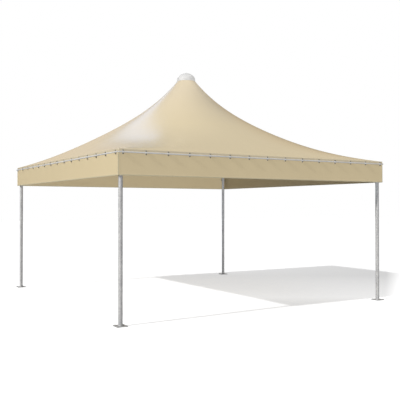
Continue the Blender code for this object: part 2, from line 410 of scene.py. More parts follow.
# cream coated polyester: a lacquered face, slow cloudy variation and the print of the weave
def membraneMaterial(name, seams):
    look = membraneLook
    material, shader, place = newMaterial(name, look["gloss"])
    cloth = addNode(place.id_data, "UVMap", {}, uv_map="cloth").outputs["UV"]
    x, y, z = addSplit(place)
    cloudy = addRange(addNoise(place, look["cloudScale"], 2.0), *noiseRange, 0, 1)
    colour = addColourMix(cloudy, look["colour"], look["paler"])
    if seams:
        # painted shade: darker towards the neck, and on the fold face just above the clamping tube
        paintedNeckShade = addRange(z, *look["paintedNeckShadeHeights"], 0, 1)
        colour = addColourMix(paintedNeckShade, colour, look["paintedNeckShade"])
        colour = addColourMix(addRange(z, *look["paintedFoldShadeHeights"], 1, 0), colour, look["paintedFoldShade"])
    else:
        colour = addColourMix(valanceEdge(cloth), colour, look["darkerEdge"])
    gloss, spread = look["gloss"], look["glossSpread"]
    streaks = addNoise(place, look["streakScale"], 2.0)
    gloss = addRange(streaks, *noiseRange, gloss - spread, gloss + spread)
    wave = {"Vector": cloth, "Scale": look["threads"] * math.tau / 20, "Distortion": 0.4}
    weave = addNode(place.id_data, "TexWave", wave).outputs["Fac"]
    normal = addBump(weave, look["weaveDepth"])
    slack = addNoise(place, look["slackScale"], 2.0)
    normal = addBump(slack, look["slackDepth"], 0.5, normal)
    if seams:
        normal = addBump(seamRidge(x, y), look["seamDepth"], 1.0, normal)
    linkShader(shader, {"Base Color": colour, "Roughness": gloss, "Normal": normal})
    return material


# 1 along a valance's foot and its two ends, where the colour is darker, from the cloth's own measure
def valanceEdge(cloth):
    measure = addSplit(cloth)
    width, fade = membraneLook["darkerEdgeWidth"], membraneLook["darkerEdgeFade"]
    foot = addRange(measure["Y"], valanceFoot + width, valanceFoot + width + fade, 1, 0)
    end = addRange(addMath("ABSOLUTE", measure["X"]), half - width - fade, half - width, 0, 1)
    return addMath("MAXIMUM", foot, end)


# 1 on a weld seam and 0 beside it: the seams lie where |x| is |y|, and where one of them is 0
def seamRidge(x, y):
    across, ahead = addMath("ABSOLUTE", x), addMath("ABSOLUTE", y)
    hip = addMath("ABSOLUTE", addMath("SUBTRACT", across, ahead))
    nearest = addMath("MINIMUM", hip, addMath("MINIMUM", across, ahead))
    width = membraneLook["seamHalfWidth"]
    return addRange(nearest, width, width + membraneLook["seamFade"], 1, 0)


galvanisedLook = {
    "light": (0.54, 0.535, 0.525),
    "dark": (0.38, 0.38, 0.385),
    "crystalShare": 0.45, "runShare": 0.75,  # of each in the tone
    "toneRange": (0.3, 0.85),  # from dark to light
    "metallic": 0.35,
    "gloss": 0.42,
    "glossier": 0.10,  # the smoothest crystals
    "duller": 0.14,
    "runScale": 14.0, "runDepth": 0.0012,
    "grainScale": 160.0, "grainDepth": 0.0004,
}


# hot-dip zinc: frosty crystals of differing tone, cloudy runs and a slightly uneven skin; spangle is the
# number of crystals in a metre
def galvanisedMaterial(name, tone=1.0, spangle=55.0):
    look = galvanisedLook
    material, shader, place = newMaterial(name, look["gloss"], look["metallic"])
    tree = place.id_data
    crystals = addNode(tree, "TexVoronoi", {"Vector": place, "Scale": spangle, "Randomness": 1.0})
    facet = addNode(tree, "SeparateColor", {"Color": crystals.outputs["Color"]}).outputs
    runs = addNoise(place, look["runScale"], 4.0, (1, 1, 0.35))
    blend = addMath("ADD", addMath("MULTIPLY", facet["Red"], look["crystalShare"]),
                    addMath("MULTIPLY", runs, look["runShare"]))
    dark, light = (tuple(tone * value for value in look[key]) for key in ("dark", "light"))
    colour = addColourMix(addRange(blend, *look["toneRange"], 0, 1), dark, light)
    glossier, duller = look["gloss"] - look["glossier"], look["gloss"] + look["duller"]
    gloss = addRange(facet["Green"], 0, 1, glossier, duller)
    normal = addBump(addNoise(place, look["grainScale"]), look["grainDepth"], 0.5)
    normal = addBump(runs, look["runDepth"], 0.4, normal)
    linkShader(shader, {"Base Color": colour, "Roughness": gloss, "Normal": normal})
    return material


drawnLook = {"lineScale": 90.0, "patchScale": 5.0, "toneRange": (0.12, 0.38), "glossier": 0.06,
             "duller": 0.08, "lineDepth": 0.0002}


# drawn, rolled or plated metal with fine lines
def drawnMetalMaterial(name, light, dark, roughness, metallic=0.4):
    look = drawnLook
    material, shader, place = newMaterial(name, roughness, metallic)
    lines = addNoise(place, look["lineScale"])
    blend = addMath("MULTIPLY", lines, addNoise(place, look["patchScale"]))
    colour = addColourMix(addRange(blend, *look["toneRange"], 0, 1), dark, light)
    gloss = addRange(lines, *noiseRange, roughness - look["glossier"], roughness + look["duller"])
    linkShader(shader, {"Base Color": colour, "Roughness": gloss,
                        "Normal": addBump(lines, look["lineDepth"], 0.4)})
    return material


knobLook = {"dark": (0.10, 0.088, 0.062), "light": (0.15, 0.132, 0.095), "gloss": 0.45, "detail": 3.0,
            "mottleScale": 300.0, "grainScale": 300.0, "grainDepth": 0.0002, "grainStrength": 0.5}
capLook = {"dark": (0.465, 0.462, 0.455), "light": (0.495, 0.492, 0.485), "gloss": 0.6, "detail": 2.0,
           "mottleScale": 9.0, "grainScale": 700.0, "grainDepth": 0.00006, "grainStrength": 0.4}


# a dark moulded knob or white coated cloth: mottled, with a fine grain
def grainMaterial(name, look):
    material, shader, place = newMaterial(name, look["gloss"])
    mottling = addNoise(place, look["mottleScale"], look["detail"])
    grain = addNoise(place, look["grainScale"], look["detail"])
    linkShader(shader, {"Base Color": addColourMix(mottling, look["dark"], look["light"]),
                        "Normal": addBump(grain, look["grainDepth"], look["grainStrength"])})
    return material


roofCloth = membraneMaterial("roof_membrane_lacquered", seams=True)
valanceCloth = membraneMaterial("valance_membrane_lacquered", seams=False)
galvanised = galvanisedMaterial("galvanised_post_steel")
plateSteel = galvanisedMaterial("galvanised_plate_steel", tone=0.85)
socketSteel = galvanisedMaterial("galvanised_socket_steel", tone=0.9, spangle=80.0)
tubeSteel = drawnMetalMaterial("zinc_plated_tube", (0.535, 0.530, 0.520), (0.475, 0.470, 0.462), 0.62, 0.05)
clampSteel = drawnMetalMaterial("zinc_plated_clamp", (0.545, 0.542, 0.54), (0.475, 0.472, 0.47), 0.62, 0.05)
beamAlloy = drawnMetalMaterial("mill_finish_aluminium", (0.74, 0.74, 0.75), (0.60, 0.60, 0.61), 0.36)
ropeSteel = drawnMetalMaterial("galvanised_wire_rope", (0.46, 0.46, 0.46), (0.28, 0.28, 0.285), 0.42)
boltSteel = drawnMetalMaterial("zinc_plated_bolt", (0.44, 0.44, 0.43), (0.30, 0.30, 0.30), 0.40)
knobPlastic = grainMaterial("dark_moulded_knob", knobLook)
capCloth = grainMaterial("white_coated_cloth", capLook)
print("materials made")


# The roof
roofShape = {
    "neckShare": 0.21,  # how much of the fall belongs to the steep neck
    "neckPower": 4.0,
    "hipSharpness": 0.34,
    "cornerSoftness": 0.00057,  # rounds the plan at the corners to about 10 mm
    "foldRadius": 0.008,
    "skirtFoot": 2.354,  # behind the clamping tube
    "thickness": 0.001,
    "rows": 74, "foldRows": 6, "skirtRows": 4,
    "evenRows": 0.45,  # share of the rows' spacing that is even; the rest crowds towards both ends
    "columns": 40,  # of half a side
    "hipCrowding": 2.6,
}


# angles round the tent, from the front side's middle, that crowd together towards the hips: each is a
# hip's angle plus or minus an eighth of a turn times a share raised to a power
def crowdedAngles():
    share = (np.arange(roofShape["columns"]) / roofShape["columns"]) ** roofShape["hipCrowding"]
    fromHip = math.pi / 4 * share
    oneSide = np.concatenate([-math.pi / 4 + fromHip, [0.0], math.pi / 4 - fromHip[:0:-1]])
    return np.concatenate([oneSide + quarter * math.pi / 2 for quarter in range(4)])


# the distance from the axis at an angle: a superellipse whose power grows down the roof, so that the level
# lines are round at the neck and square at the eave
def levelRadius(reach, fall, angles):
    across, ahead = np.abs(np.sin(angles)), np.abs(np.cos(angles))
    larger = np.maximum(across, ahead)
    power = 2 + roofShape["hipSharpness"] * fall / (1 - fall + roofShape["cornerSoftness"])
    return reach / larger / ((across / larger) ** power + (ahead / larger) ** power) ** (1 / power)


# the roof's height where a share of the way to the neck is left: in proportion to that share, with an extra
# steep part near the neck that is the share raised to a power
def heightAt(left):
    s = roofShape
    steep = s["neckShare"] * left ** s["neckPower"]
    return eaveHeight + (neckHeight - eaveHeight) * left * (1 - s["neckShare"] + steep)


# the roof down to the eave, then a quarter round of fold over the beam and a short skirt behind the tube
def roofGrid():
    s = roofShape
    pitch = math.atan((neckHeight - eaveHeight) * (1 - s["neckShare"]) / (half - neckRadius))
    foldAxis = half - s["foldRadius"]
    lastReach = foldAxis + s["foldRadius"] * math.sin(pitch)
    step = np.linspace(0, 1, s["rows"])
    step = s["evenRows"] * step + (1 - s["evenRows"]) * eased(step)
    fall = (lastReach - neckRadius) / (half - neckRadius) * step
    height = heightAt(1 - fall)
    foldHeight = height[-1] - s["foldRadius"] * math.cos(pitch)
    bend = np.linspace(pitch, math.pi / 2, s["foldRows"] + 1)[1:]
    skirt = np.linspace(foldHeight, s["skirtFoot"], s["skirtRows"] + 1)[1:]
    reach = np.concatenate([neckRadius + fall * (half - neckRadius),
                            foldAxis + s["foldRadius"] * np.sin(bend), np.full(s["skirtRows"], half)])
    height = np.concatenate([height, foldHeight + s["foldRadius"] * np.cos(bend), skirt])
    fall = np.concatenate([fall, np.ones(s["foldRows"] + s["skirtRows"])])
    angles = crowdedAngles()
    radius = levelRadius(reach[:, None], fall[:, None], angles)
    return polar(radius, angles - math.pi / 2, height[:, None])


# the cloth's own measure at the four corners of each quad: how far along the side and down the slope
def roofMeasure(grid):
    around = grid.shape[1]
    column = np.arange(around)
    following = (column + 1) % around
    turn = -(column // (2 * roofShape["columns"])) * math.pi / 2
    steps = np.linalg.norm(np.diff(grid, axis=0), axis=-1)
    down = np.concatenate([np.zeros((1, around)), np.cumsum(steps, axis=0)])
    upper, lower = slice(None, -1), slice(1, None)
    measures = []
    for rows, columns in ((lower, column), (lower, following), (upper, following), (upper, column)):
        picked = grid[rows, columns]
        across = picked[..., 0] * np.cos(turn) - picked[..., 1] * np.sin(turn)
        measures.append(np.stack([across, down[rows, columns]], axis=-1))
    return np.stack(measures, axis=2)


def buildRoof():
    grid = roofGrid()
    points, faces = ringShell(grid, closeEnds=False)
    gores = [side + "_roof_gore_" + hand for side in sides for hand in ("left", "right")]
    roof = addPiece("roof_cloth", (points, [face[::-1] for face in faces]), roofCloth,
                    gores, smoothAngle=60, closed=False, uv=roofMeasure(grid))
    thicken(roof, roofShape["thickness"])
    return roof


roof = buildRoof()
print("roof made")


# The valances
valanceShape = {
    "behind": 0.0012,  # from the roof's skirt, so that the tube presses both
    "top": 2.372,
    "nearGap": 0.0015,  # from the corner to each end
    "farGap": 0.0042,
    "bottomHem": 0.022,
    "endHem": 0.025,
    "endHemTop": 0.4,  # how far above the beam's foot the end hems show, as a share of the free drop
    "hemProud": 0.0003,
    "hemStep": 0.0016,
    "firstColumn": 0.0005,
    "thickness": 0.001,
    "pucker": 0.0024,
    "puckerFade": 0.06,
    "sway": 0.0012,
    "swayWaves": (2.1, 5.3),  # radians in a metre
    "swayShift": 1.7,  # from one side to the next
    "rows": 46, "columns": 260,
}

clampRow = {
    "count": 15,
    "span": 4.86,
    "width": 0.024,
    "strap": 0.0025,
    "clearance": 0.0010,  # from the valance to the ears
    "grip": 0.0002,  # from the tube to the strap
    "bend": 62,  # degrees that the strap goes round the tube, up and down
    "earReach": 0.029,
    "earInside": 0.0130,  # where the bend begins, on the strap's inner face
    "earOutside": 0.0152,  # and on its outer one
    "screwHeight": 0.0215,  # from the tube's axis up
    "screwSize": 0.014,
    "knobDepth": 0.0205,  # and down
    "knobRadius": 0.0105,
    "knobProud": 0.0150,
    "flutes": 8, "fluteDepth": 0.07,
}


# 1 on a hem and 0 beyond it, by a smooth step
def onHem(distance, width):
    return 1 - eased((distance - width) / valanceShape["hemStep"] + 0.5)


# a flat drop whose hems stand proud by a smooth step, with small puckers that fade below the clamps and a
# slow sway, the product of two sines, that grows with the square of the drop towards the free edge
def valanceGrid(number):
    s = valanceShape
    low, high, beside = -half + s["nearGap"], half - s["farGap"], s["hemStep"] / 2
    lines = np.array([s["firstColumn"], s["endHem"] - beside, s["endHem"] + beside])
    along = np.unique(np.concatenate([np.linspace(low, high, s["columns"]), low + lines, high - lines]))
    hemLines = valanceFoot + s["bottomHem"] + np.array([-beside, beside])
    down = np.unique(np.concatenate([np.linspace(s["top"], valanceFoot, s["rows"]), hemLines]))[::-1, None]
    drop = (frameFoot - down) / (frameFoot - valanceFoot)
    fromEnd = np.minimum(along - low, high - along)
    hem = s["hemProud"] * np.maximum(onHem(down - valanceFoot, s["bottomHem"]), onHem(fromEnd, s["endHem"]))
    pitch = clampRow["span"] / (clampRow["count"] - 1)
    fade = np.exp(-np.clip(tubeAxis - tubeRadius - down, 0, None) / s["puckerFade"])
    pucker = -s["pucker"] * np.cos(math.tau * along / pitch) * fade * (1 - fade)
    slow, quick = s["swayWaves"]
    wave = np.sin(slow * along + s["swayShift"] * number) * np.sin(quick * along + number)
    sway = s["sway"] * np.clip(drop, 0, 1) ** 2 * wave
    out = -s["behind"] + hem * (drop > -s["endHemTop"]) + pucker + sway
    return np.stack(np.broadcast_arrays(along, -(half + out), down), axis=-1)


def buildValance(number, side):
    points, quads = openGrid(valanceGrid(number))
    uv = points[quads.ravel()][:, [0, 2]]
    piece = addPiece(side + "_valance_cloth", (quarterTurned(points, number), quads.tolist()),
                     valanceCloth, [side + "_valance"],
                     smoothAngle=60, closed=False, uv=uv)
    thicken(piece, valanceShape["thickness"])
    return piece


for number, side in enumerate(sides):
    valance = buildValance(number, side)
print("valances made")


# The clamping tubes and their clamps
tubeShape = {"wall": 0.0015, "rim": 0.0004, "rimLength": 0.003, "plugDome": 0.0006, "segments": 32}


# a round tube along the side, closed by a low plug at each end
def tubeParts():
    s, r = tubeShape, tubeRadius
    end = [(s["plugDome"], 0.3 * r), (0, 0.6 * r), (0, r - s["wall"]), (s["rim"], r - s["rim"]),
           (s["rimLength"], r)]
    profile = [(-half + inwards, radius) for inwards, radius in end]
    profile += [(half - inwards, radius) for inwards, radius in end[::-1]]
    return [turnedShell(profile, (0, -half - tubeStandoff - r, tubeAxis), xAxis, s["segments"])]


# a clamp's strap, seen from the tube's end: an ear, an arc over the tube and an ear, up its inner face and
# back down its outer one
def strapOutline():
    s = clampRow
    inner, outer = s["clearance"], s["clearance"] + s["strap"]
    bend = np.radians(np.linspace(-s["bend"], s["bend"], 13))
    arc = np.column_stack([np.cos(bend), np.sin(bend)])
    centre = np.array([tubeStandoff + tubeRadius, 0])
    under = [(inner, -s["earReach"]), (inner, -s["earInside"])]
    over = [(inner, s["earInside"]), (inner, s["earReach"])]
    top = [(outer, s["earReach"]), (outer, s["earOutside"])]
    foot = [(outer, -s["earOutside"]), (outer, -s["earReach"])]
    inside = tubeRadius + s["grip"]
    outside = centre + (inside + s["strap"]) * arc[::-1]
    return np.concatenate([under, centre + inside * arc, over, top, outside, foot])


# fifteen straps, each with a small bolt on its upper ear and a knob on its lower one
def clampParts():
    s = clampRow
    outline = strapOutline()
    ear = -half - s["clearance"] - s["strap"]
    straps, knobs = [], []
    for place in np.linspace(-s["span"] / 2, s["span"] / 2, s["count"]):
        straps.append(drawnShell(outline, (place, -half, tubeAxis), [-yAxis, zAxis, xAxis],
                                 -s["width"] / 2, s["width"] / 2))
        knobs += hexBolt((place, ear, tubeAxis + s["screwHeight"]), -yAxis, s["screwSize"])
        knobs.append(knobShell((place, ear, tubeAxis - s["knobDepth"])))
    return straps, knobs


# a fluted knob: a low dome whose rim swells and sinks
def knobShell(foot):
    s = clampRow
    deep, r = s["knobProud"] - s["clearance"] - s["strap"], s["knobRadius"]
    profile = [(0, 0.80 * r), (0.001, 0.97 * r), (0.2 * deep, r), (0.75 * deep, r),
               (0.9 * deep, 0.93 * r), (0.98 * deep, 0.75 * r), (deep, 0.35 * r)]
    return turnedShell(profile, foot, -yAxis, 32, ripple=s["fluteDepth"], ripples=s["flutes"])


straps, knobs = clampParts()
for tube in addFour(sides, "_tube", tubeParts(), tubeSteel, "_clamping_tube"):
    tube.visible_shadow = False  # so thin a shadow is lost in soft light
addFour(sides, "_clamps", straps, clampSteel, "_clamping_tube")
addFour(sides, "_clamp_knobs", knobs, knobPlastic, "_clamping_tube")
print("clamping tubes made")


# Posts and base plates
postShape = {
    "boltHeight": 2.255, "boltSize": 0.017, "boltSunk": 0.0008, "threadLength": 0.004,
    "plateCorner": 0.004, "plateBevel": 0.0012,
    "anchorInset": 0.024, "anchorSize": 0.016,
    "anchorHead": 0.3,  # low heads, which the photo's flat plates allow
}


# a pipe with a weld at its foot and a lighter one at its head
def postParts():
    leg = weldShape["leg"]
    return [pipeShell(postLow, postHigh, atPost(0.0)), weldBead(atPost(postLow.z), zAxis, postRadius, leg),
            weldBead(atPost(postHigh.z), -zAxis, postRadius, 0.7 * leg)]


# the two ends of the bolt that goes through the post and its socket
def postBoltParts():
    s = postShape
    outward = (xAxis - yAxis) / math.sqrt(2)
    ends = []
    for direction, thread in ((outward, 0.0), (-outward, s["threadLength"])):
        foot = atPost(s["boltHeight"]) + direction * (postRadius - s["boltSunk"])
        ends += hexBolt(foot, direction, s["boltSize"], thread)
    return ends


plateMiddle, plateHalf = boxMiddle("front_left_base_plate")


def plateParts():
    return [roundedBlock(plateMiddle, plateHalf, postShape["plateCorner"], postShape["plateBevel"])]


def anchorParts():
    reach = plateHalf[0] - postShape["anchorInset"]
    bolts = []
    for across in (-reach, reach):
        for ahead in (-reach, reach):
            bolts += hexBolt(atPost(plateMiddle[2] + plateHalf[2], across, ahead), zAxis,
                             postShape["anchorSize"], headShare=postShape["anchorHead"])
    return bolts


pipes = addFour(corners, "_post_pipe", postParts(), galvanised, "_post")
pipes[2].visible_shadow = False  # the far post's shadow would fall on the valance right behind it
addFour(corners, "_post_bolt", postBoltParts(), boltSteel, "_post")
addFour(corners, "_foot_plate", plateParts(), plateSteel, "_base_plate")
addFour(corners, "_anchor_bolts", anchorParts(), plateSteel, "_base_plate")
print("posts made")


# The eave frame
eaveShape = {
    "corner": 0.004,
    "slot": (0.004, 0.008, 0.002, 0.008),  # half the mouth, half the inside, the lip, the depth
    "socketCorner": 0.004,
    "socketBevel": 0.002,
    "chamfer": 0.050,
    "underBolt": 0.013,
    "underBoltPlaces": ((-0.046, 0.046), (0.046, -0.046), (-0.046, -0.046)),  # from the post's axis
    "sideBolt": 0.010, "sideBoltInset": 0.068, "sideBoltRise": 0.022,
}


# a T-shaped slot in a face, as points (along the face, depth) about its middle
def slotPoints(middle):
    mouth, wide, lip, deep = eaveShape["slot"]
    return [(middle - mouth, 0), (middle - mouth, lip), (middle - wide, lip), (middle - wide, deep),
            (middle + wide, deep), (middle + wide, lip), (middle + mouth, lip), (middle + mouth, 0)]


# the extrusion's outline: rounded corners, two slots in the inner face and one in the bottom
def beamOutline(wide, high):
    r = eaveShape["corner"]
    arcs = cornerArcs(wide, high, r)
    bottom = [(-wide + r, -high)] + [(along, -high + deep) for along, deep in slotPoints(0.0)]
    inner = [(wide - deep, along) for middle in (-high / 2, high / 2) for along, deep in slotPoints(middle)]
    return np.concatenate([bottom, arcs[3], inner, arcs[0], arcs[1], arcs[2][:-1]])


def beamParts():
    middle, size = boxMiddle("front_eave_beam")
    return [drawnShell(beamOutline(size[1], size[2]), middle, [yAxis, zAxis, xAxis], -size[0], size[0])]


# the corner box: its plan is a square with one corner cut off, rounded at every corner
def socketParts():
    low, high = socketLow, socketHigh
    cut = eaveShape["chamfer"]
    plan = [(low.x, low.y), (high.x, low.y), (high.x, high.y - cut), (high.x - cut, high.y), (low.x, high.y)]
    outline = roundedPolygon(plan, eaveShape["socketCorner"])
    return [drawnShell(outline, (0, 0, 0), np.eye(3), low.z, high.z, eaveShape["socketBevel"])]


# bolts in the socket's underside and inner faces
def socketBoltParts():
    s = eaveShape
    low, high = socketLow, socketHigh
    bolts = []
    for across, ahead in s["underBoltPlaces"]:
        bolts += hexBolt(atPost(low.z, across, ahead), -zAxis, s["underBolt"])
    for rise in (-s["sideBoltRise"], s["sideBoltRise"]):
        height = (low.z + high.z) / 2 + rise
        bolts += hexBolt((high.x, low.y + s["sideBoltInset"], height), xAxis, s["sideBolt"])
        bolts += hexBolt((low.x + s["sideBoltInset"], high.y, height), yAxis, s["sideBolt"])
    return bolts


addFour(sides, "_beam_extrusion", beamParts(), beamAlloy, "_eave_beam")
addFour(corners, "_socket_box", socketParts(), socketSteel, "_corner_socket")
addFour(corners, "_socket_bolts", socketBoltParts(), boltSteel, "_corner_socket")
print("eave frame made")


# The king post, its foot, the stays and the crown plate
peakShape = {
    "footSide": 0.090, "footCorner": 0.006, "footBevel": 0.0015,
    "stayTop": 2.350,
    "pinInset": 0.016,  # from a face to the pin before it
    "ropeRadius": 0.0048,
    "strands": 6,
    "strandRelief": 0.10,
    "layLength": 0.075,
    "ringStep": 0.006,
    "neckLength": 0.050,  # from a pin to its rope socket
    "socketLength": 0.075,
    "socketRadius": 0.0085,
    "socketMouth": 0.0056,  # where the rope goes in
    "barrelLength": 0.170, "barrelRadius": 0.011, "screwRadius": 0.006,
    "bar": (0.0055, 0.003),  # half the width and half the thickness of its two bars
    "screwOut": 0.030,  # how far the tensioner's screws come out
    "screwIn": 0.060,  # and how far they reach in
    "nutSize": 0.017,
}


# a stranded rope: a tube along a straight path whose radius swells at each strand, and the strands turn
# once round in each lay length
def ropeShell(start, end):
    s = peakShape
    run = end - start
    length = np.linalg.norm(run)
    along = np.linspace(0, length, int(length / s["ringStep"]) + 1)[:, None]
    turn = np.arange(24) * math.tau / 24
    strand = np.abs(np.cos(s["strands"] / 2 * (turn - math.tau * along / s["layLength"])))
    radius = s["ropeRadius"] * (1 + s["strandRelief"] * (strand - 0.5))
    return ringShell(start + polar(radius, turn, along) @ axesAlong(run))


forkShape = {
    "cheek": (0.010, 0.0025, 0.006),  # half its width, half its thickness, the rounding of its ends
    "spread": 0.0075,  # from the middle to each cheek
    "behindPin": 0.010,
    "pin": (0.014, 0.0055, 0.0062),  # half its length, the radius of its heads' rims and of the heads
}


# a fork: two cheeks either side of an ear, with a pin, on a turned neck; reach is half a cheek's length
def forkParts(pin, run, reach, neck, segments):
    across, upward, along = axesAlong(run)
    wide, thick, rounding = forkShape["cheek"]
    middle = pin + along * (reach - forkShape["behindPin"])
    spread = across * forkShape["spread"]
    parts = [roundedBlock(middle + side, (wide, reach, thick), rounding, axes=[upward, along, across])
             for side in (-spread, spread)]
    end, rim, head = forkShape["pin"]
    heads = [(-end, rim), (pipeRim - end, head), (end - pipeRim, head), (end, rim)]
    return parts + [turnedShell(heads, pin, across, 20), turnedShell(neck, pin, along, segments)]


# the tensioner: an open body of two bars between two threaded ends, with lock nuts
def tensionerParts(start, run):
    s = peakShape
    axes = across, upward, along = axesAlong(run)
    length, screw = s["barrelLength"], s["screwRadius"]
    wide, thick = s["bar"]
    parts = [roundedBlock(start + along * length / 2 + across * side, (wide, length / 2, thick), thick,
                          axes=[upward, along, across]) for side in (-s["barrelRadius"], s["barrelRadius"])]
    for place in (0.0, length - 0.022):
        parts.append(turnedShell([(place, 0.011), (place + 0.002, 0.0135), (place + 0.020, 0.0135),
                                  (place + 0.022, 0.011)], start, along, 24))
    for place in (-0.014, length + 0.004):
        parts.append(drawnShell(hexagon(s["nutSize"]), start, axes, place, place + 0.010, 0.001))
    for low, high in ((-s["screwOut"], s["screwIn"]), (length - s["screwIn"], length + s["screwOut"])):
        parts.append(turnedShell([(low, screw), (high, screw)], start, along, 16))
    return parts


# one stay, from the king post's foot out to the corner socket: a fork and a rope socket, the rope, the other
# rope socket, the tensioner and a short fork, with an ear at each end
def stayParts():
    s = peakShape
    toCorner = -(xAxis + yAxis) / math.sqrt(2)
    inner = toCorner * (s["footSide"] / 2 + s["pinInset"]) + zAxis * boxMiddle("king_post_foot")[0][2]
    cutCorner = math.sqrt(2) * (-socketHigh.x + eaveShape["chamfer"] / 2)
    outer = toCorner * (cutCorner - s["pinInset"]) + zAxis * s["stayTop"]
    run = outer - inner
    along = run / np.linalg.norm(run)
    start, length, wide, mouth = s["neckLength"], s["socketLength"], s["socketRadius"], s["socketMouth"]
    tensioner = outer - along * (s["screwIn"] + s["barrelLength"])
    ropeEnd = tensioner - along * (s["screwOut"] + length - 0.004)
    rope = [ropeShell(inner + along * (start + length), ropeEnd)]
    longNeck = [(0.028, 0.008), (0.030, 0.0105), (0.044, 0.0105), (start, wide), (start + length, wide),
                (start + length + 0.006, mouth)]
    shortNeck = [(0.024, 0.008), (0.026, 0.0105), (0.034, 0.0105), (0.036, s["screwRadius"]),
                 (s["screwIn"], s["screwRadius"])]
    ropeSocket = [(0, mouth), (0.006, wide), (length, wide), (length + 0.002, s["screwRadius"])]
    ends = forkParts(inner, run, 0.022, longNeck, 28) + tensionerParts(tensioner, run)
    ends.append(turnedShell(ropeSocket, tensioner - along * (s["screwOut"] - 0.002 + length), along, 24))
    ends += forkParts(outer, -run, 0.020, shortNeck, 24)
    ends += [earShell(inner, -toCorner), earShell(outer, toCorner)]
    return rope, ends


earShape = {"fromPin": 0.003, "halfSize": (0.013, 0.013, 0.004), "rounding": 0.007}


# a plate ear welded to a face, reaching from the face to round the pin
def earShell(pin, towardsFace):
    axes = [towardsFace, zAxis, np.cross(zAxis, towardsFace)]
    return roundedBlock(pin + towardsFace * earShape["fromPin"], earShape["halfSize"], earShape["rounding"],
                        axes=axes)


def kingPostParts():
    low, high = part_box("king_post")
    return [pipeShell(low, high), weldBead(zAxis * low.z, zAxis, (high.x - low.x) / 2, weldShape["leg"])]


def kingFootParts():
    middle, size = boxMiddle("king_post_foot")
    halfSide = peakShape["footSide"] / 2
    diagonal = np.array([xAxis + yAxis, yAxis - xAxis, math.sqrt(2) * zAxis]) / math.sqrt(2)
    return [roundedBlock(middle * zAxis, (halfSide, halfSide, size[2]), peakShape["footCorner"],
                         peakShape["footBevel"], diagonal)]


crownShape = {"rim": 0.1515, "rimDepth": 0.0405, "plate": 0.008, "hub": 0.040, "ribs": 8, "ribMiddle": 0.091,
              "ribHalf": (0.0525, 0.013, 0.0025), "ribRounding": 0.003, "ribBevel": 0.0005, "ribDrop": 0.0205}


# a turned plate with a rim and a hub, and ribs that run from the hub to the rim
def crownPlateParts():
    s = crownShape
    low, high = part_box("crown_plate")
    top, rim, hub, under = high.z, s["rim"], s["hub"], high.z - s["plate"]
    foot = top - s["rimDepth"]
    inside = [(low.z, 0.02), (low.z, hub - 0.002), (low.z + 0.002, hub), (under - 0.002, hub),
              (under, hub + 0.002), (under, rim - 0.0105), (under - 0.002, rim - 0.0085),
              (foot + 0.0006, rim - 0.0085)]
    outside = [(foot, rim - 0.009), (foot + 0.0005, rim - 0.001), (foot + 0.0025, rim), (top - 0.002, rim),
               (top, rim - 0.003), (top, 0.02)]
    parts = [turnedShell(inside + outside, (0, 0, 0), zAxis, 96)]
    for turn in (np.arange(s["ribs"]) + 0.5) * math.tau / s["ribs"]:
        outward = np.array([math.cos(turn), math.sin(turn), 0.0])
        middle = outward * s["ribMiddle"] + zAxis * (top - s["ribDrop"])
        parts.append(roundedBlock(middle, s["ribHalf"], s["ribRounding"], s["ribBevel"],
                                  [outward, zAxis, np.cross(zAxis, outward)]))
    return parts


rope, ends = stayParts()
addFour(corners, "_stay_rope", rope, ropeSteel, "_stay", smoothAngle=60)
addFour(corners, "_stay_fittings", ends, boltSteel, "_stay")
addPiece("king_post_pipe", joined(kingPostParts()), galvanised, ["king_post"])
addPiece("king_post_shoe", joined(kingFootParts()), socketSteel, ["king_post_foot"])
addPiece("crown_plate_ribbed", joined(crownPlateParts()), socketSteel,
         ["crown_plate"])
print("peak frame made")


# The cap
capShape = {
    "folds": 9,
    "depth": 0.013,
    "valleySoftness": 0.02,
    "fadePower": 4,
    "twist": -2.3,  # radians that a fold leans as it climbs
    "skirtTwist": 0.1,  # how much further it leans on the skirt, as a share of that
    "rim": 0.1690,
    "buttonRadius": 0.014,
    "buttonHeight": 0.013,
    "buttonFoot": 0.004,  # how far the button reaches down into the dome
    "underButton": 0.8,  # the dome's last ring, as a share of the button's radius
    "skirtFoot": 3.9715,  # where it comes down on the membrane
    "skirtClearance": 0.0014,
    "skirtFlare": 1.5,
    "hemFold": 0.25,  # share of the folds' depth that is left at the hem
    "thickness": 0.001,
    "rows": 40, "skirtRows": 7, "aroundFold": 24,
}


# the roof's radius at a height near the neck, found on its own curve
def neckRadiusAt(height):
    fall = np.linspace(0, 0.1, 400)
    return neckRadius + float(np.interp(-height, -heightAt(1 - fall), fall)) * (half - neckRadius)


# a dome whose radius is the cosine and height the sine of a climb, over a short skirt that widens down to
# the membrane. The folds have broad crests and narrow valleys, from the size of a cosine, lean as they climb
# and fade towards the button and the hem
def capGrid():
    s = capShape
    low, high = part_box("crown_cap")
    segments = s["folds"] * s["aroundFold"]
    turn = np.arange(segments) * math.tau / segments
    share = np.linspace(0, 1, s["rows"])
    climb = math.acos(s["underButton"] * s["buttonRadius"] / s["rim"]) * share
    down = np.linspace(1, 0, s["skirtRows"] + 1)[:-1]
    hem = neckRadiusAt(s["skirtFoot"]) + s["skirtClearance"]
    skirt = s["rim"] + (hem - s["rim"]) * down ** s["skirtFlare"]
    radius = np.concatenate([skirt, s["rim"] * np.cos(climb)])
    dome = high.z - low.z - s["buttonHeight"]
    height = np.concatenate([low.z + (s["skirtFoot"] - low.z) * down, low.z + dome * np.sin(climb)])
    lean = np.concatenate([-s["skirtTwist"] * down, share])[:, None]
    fade = np.concatenate([1 - (1 - s["hemFold"]) * down, 1 - share ** s["fadePower"]])[:, None]
    crest = np.cos(s["folds"] / 2 * (turn - s["twist"] * lean))
    wave = 2 * np.sqrt(crest * crest + s["valleySoftness"]) - 1
    reach = radius[:, None] * (1 + s["depth"] * fade * wave)
    reach[0] = np.maximum(reach[0], hem)
    return polar(reach, turn, height[:, None])


